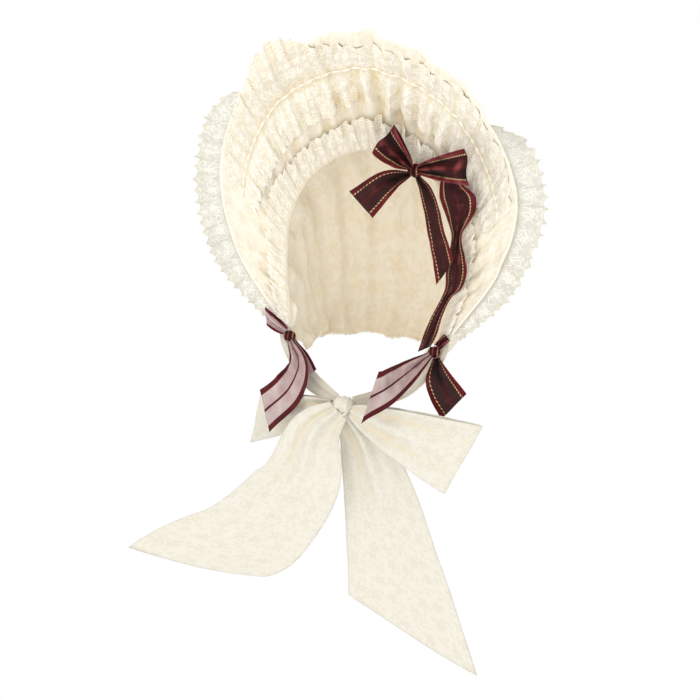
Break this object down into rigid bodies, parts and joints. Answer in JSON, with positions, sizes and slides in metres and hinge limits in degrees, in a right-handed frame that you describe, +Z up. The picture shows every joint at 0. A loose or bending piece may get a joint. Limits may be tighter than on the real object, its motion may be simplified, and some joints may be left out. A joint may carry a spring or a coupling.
{
  "type": "lolita bonnet",
  "caption": "Cream cloth bonnet with a wide gathered brim, lace frills, burgundy ribbon bows and a wide tie knotted in a bow under the chin.",
  "frame": {"origin": "on the seam of the head opening, at its top centre, where the bonnet rests on top of the head", "axes": "+Z up, -Y the way the wearer looks, +X the wearer's left"},
  "size_m": [0.3938, 0.2755, 0.6222],
  "materials": {
    "cream_jacquard": "matt cream cotton with a tone-on-tone woven figure",
    "cream_tie": "matt cream jacquard cotton, soft",
    "ivory_lace": "translucent ivory net with matt raised cord",
    "burgundy_ribbon": "sheer organza with satin stripes and fine gold lines"
  },
  "bodies": {
    "root": {"brim": "cream_jacquard", "crown": "cream_jacquard", "outer_lace": "ivory_lace", "mid_lace": "ivory_lace", "inner_lace": "ivory_lace", "ribbon_cascade": "burgundy_ribbon", "top_bow_knot": "burgundy_ribbon", "top_bow_loop_right": "burgundy_ribbon", "top_bow_loop_left": "burgundy_ribbon", "top_bow_tail_right": "burgundy_ribbon", "top_bow_tail_left": "burgundy_ribbon", "right_bow_knot": "burgundy_ribbon", "right_bow_loop": "burgundy_ribbon", "right_bow_tail_front": "burgundy_ribbon", "right_bow_tail_back": "burgundy_ribbon", "left_bow_knot": "burgundy_ribbon", "left_bow_loop": "burgundy_ribbon", "left_bow_tail_front": "burgundy_ribbon", "left_bow_tail_back": "burgundy_ribbon", "tie_knot": "cream_tie", "tie_strap_right": "cream_tie", "tie_strap_left": "cream_tie", "tie_loop_right": "cream_tie", "tie_loop_left": "cream_tie", "tie_tail_right": "cream_tie", "tie_tail_left": "cream_tie"}
  },
  "joints": []
}
